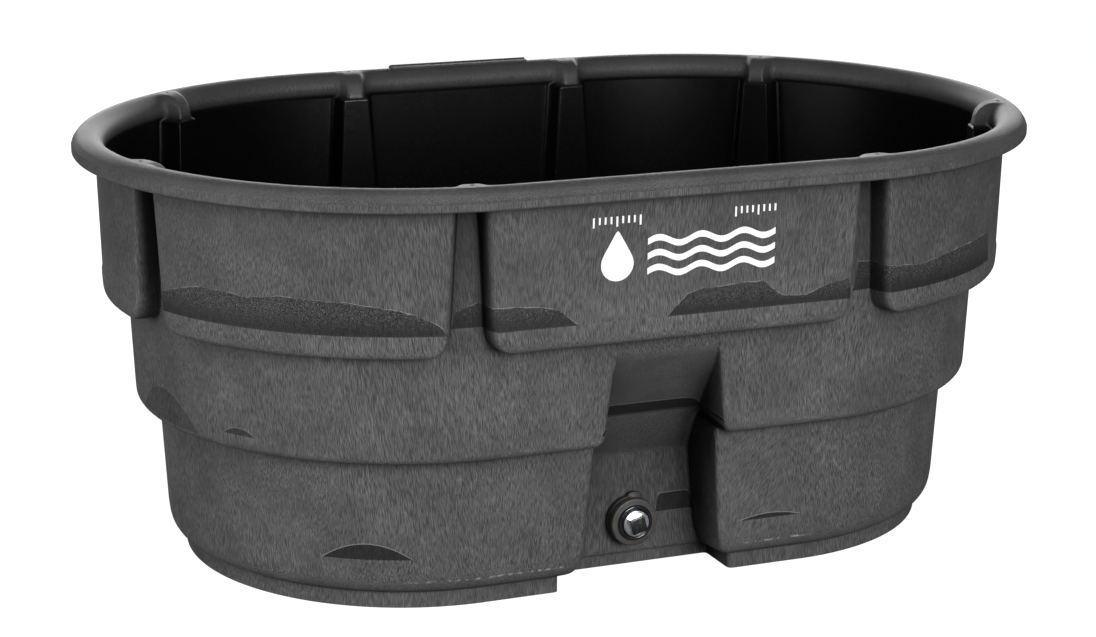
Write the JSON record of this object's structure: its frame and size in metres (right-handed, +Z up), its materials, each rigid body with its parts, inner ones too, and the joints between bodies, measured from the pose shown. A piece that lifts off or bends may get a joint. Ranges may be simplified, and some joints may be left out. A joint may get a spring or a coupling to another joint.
{
  "type": "livestock water trough",
  "caption": "Oval moulded stock trough with stepped sides, ribbed upper band, rolled rim and a recessed drain closed by a screw-in collar and a square-head plug.",
  "frame": {"origin": "centre of the flat base on the floor, under the middle of the oval", "axes": "+X along the length, -Y towards the drain side, +Z up"},
  "size_m": [1.473, 0.991, 0.635],
  "materials": {
    "tank_plastic": "matt structural foam with a brushed vertical grain",
    "black_rubber": "matt",
    "fitting_plastic": "satin",
    "collar_plastic": "satin, slightly brown black",
    "seal_rubber": "wet gloss",
    "plated_steel": "bright plated"
  },
  "bodies": {
    "tank": {"tank_shell": "tank_plastic", "inner_gasket": "black_rubber", "bulkhead_body": "fitting_plastic", "outer_gasket": "black_rubber", "lock_ring": "fitting_plastic"},
    "collar_travel": {"bushing_washer": "black_rubber"},
    "collar": {"drain_bushing": "collar_plastic"},
    "plug_travel": {"plug_seal": "seal_rubber"},
    "plug": {"pipe_plug": "plated_steel"}
  },
  "joints": [
    {"name": "collar_slide", "type": "slide", "parent": "tank", "child": "collar_travel", "axis": [0, -1, 0], "range_m": [0, 0.0155]},
    {"name": "collar_screw", "type": "hinge", "parent": "collar_travel", "child": "collar", "pos_m": [0.002, -0.296, 0.0745], "axis": [0, -1, 0], "range_deg": [0, 2520]},
    {"name": "plug_slide", "type": "slide", "parent": "collar", "child": "plug_travel", "axis": [0, -1, 0], "range_m": [0, 0.0111]},
    {"name": "plug_screw", "type": "hinge", "parent": "plug_travel", "child": "plug", "pos_m": [0.002, -0.3, 0.0745], "axis": [0, -1, 0], "range_deg": [0, 1800]}
  ],
  "couplings": [
    {"joint": "collar_slide", "follows": "collar_screw", "m_per_rad": 0.00035157},
    {"joint": "plug_slide", "follows": "plug_screw", "m_per_rad": 0.00035157}
  ]
}
